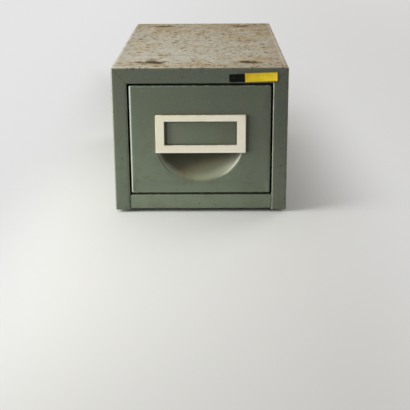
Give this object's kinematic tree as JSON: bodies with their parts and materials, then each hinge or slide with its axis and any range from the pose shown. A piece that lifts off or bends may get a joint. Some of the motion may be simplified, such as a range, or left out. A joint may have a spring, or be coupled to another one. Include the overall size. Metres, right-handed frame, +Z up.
{
  "type": "drawer cabinet",
  "caption": "Small folded sheet-steel drawer cabinet with a card drawer, half-moon finger pull, framed label window, push-in rubber feet and a sliding follower plate.",
  "frame": {"origin": "middle of the bounding box in plan, on the plane that the four feet stand on", "axes": "+X to the right seen from the front, -Y out of the drawer front, +Z up"},
  "size_m": [0.1674, 0.321, 0.1427],
  "materials": {
    "casing_paint": "worn olive-green stove enamel, satin",
    "inner_paint": "olive-green stove enamel, satin, little worn",
    "zinc_steel": "dull zinc plate",
    "label_plastic": "aged cream, low gloss",
    "rubber": "matt black",
    "nylon": "natural, matt",
    "badge_enamel": "yellow and black enamel, bare"
  },
  "bodies": {
    "casing": {"casing_wrap": "casing_paint", "base_pan": "inner_paint", "back_panel": "inner_paint", "runner_left": "zinc_steel", "runner_right": "zinc_steel", "buffer_left": "rubber", "buffer_right": "rubber", "foot_front_left": "rubber", "foot_front_right": "rubber", "foot_rear_left": "rubber", "foot_rear_right": "rubber", "badge_plate": "badge_enamel"},
    "drawer": {"drawer_front": "casing_paint", "front_liner": "inner_paint", "drawer_tray": "inner_paint", "drawer_back": "inner_paint", "slide_left": "zinc_steel", "slide_right": "zinc_steel", "glide_left": "nylon", "glide_right": "nylon", "glide_rivets": "zinc_steel", "label_holder": "label_plastic"},
    "follower": {"follower_plate": "zinc_steel", "follower_shoe": "zinc_steel", "follower_rivets": "zinc_steel", "lever_bracket": "zinc_steel", "lever_pin": "zinc_steel", "lever_spring": "zinc_steel"},
    "lever": {"lock_lever": "zinc_steel", "lever_pad": "rubber"}
  },
  "joints": [
    {"name": "drawer_slide", "type": "slide", "parent": "casing", "child": "drawer", "axis": [0, -1, 0], "range_m": [0, 0.2568]},
    {"name": "follower_slide", "type": "slide", "parent": "drawer", "child": "follower", "axis": [0, 1, 0], "range_m": [-0.14, 0.035]},
    {"name": "lever_hinge", "type": "hinge", "parent": "follower", "child": "lever", "pos_m": [0, 0.0815, 0.03318], "axis": [1, 0, 0], "range_deg": [0, 12], "stiffness_Nm_per_rad": 0.08, "springref_deg": -17.19, "deforming": ["lever_spring"]}
  ]
}
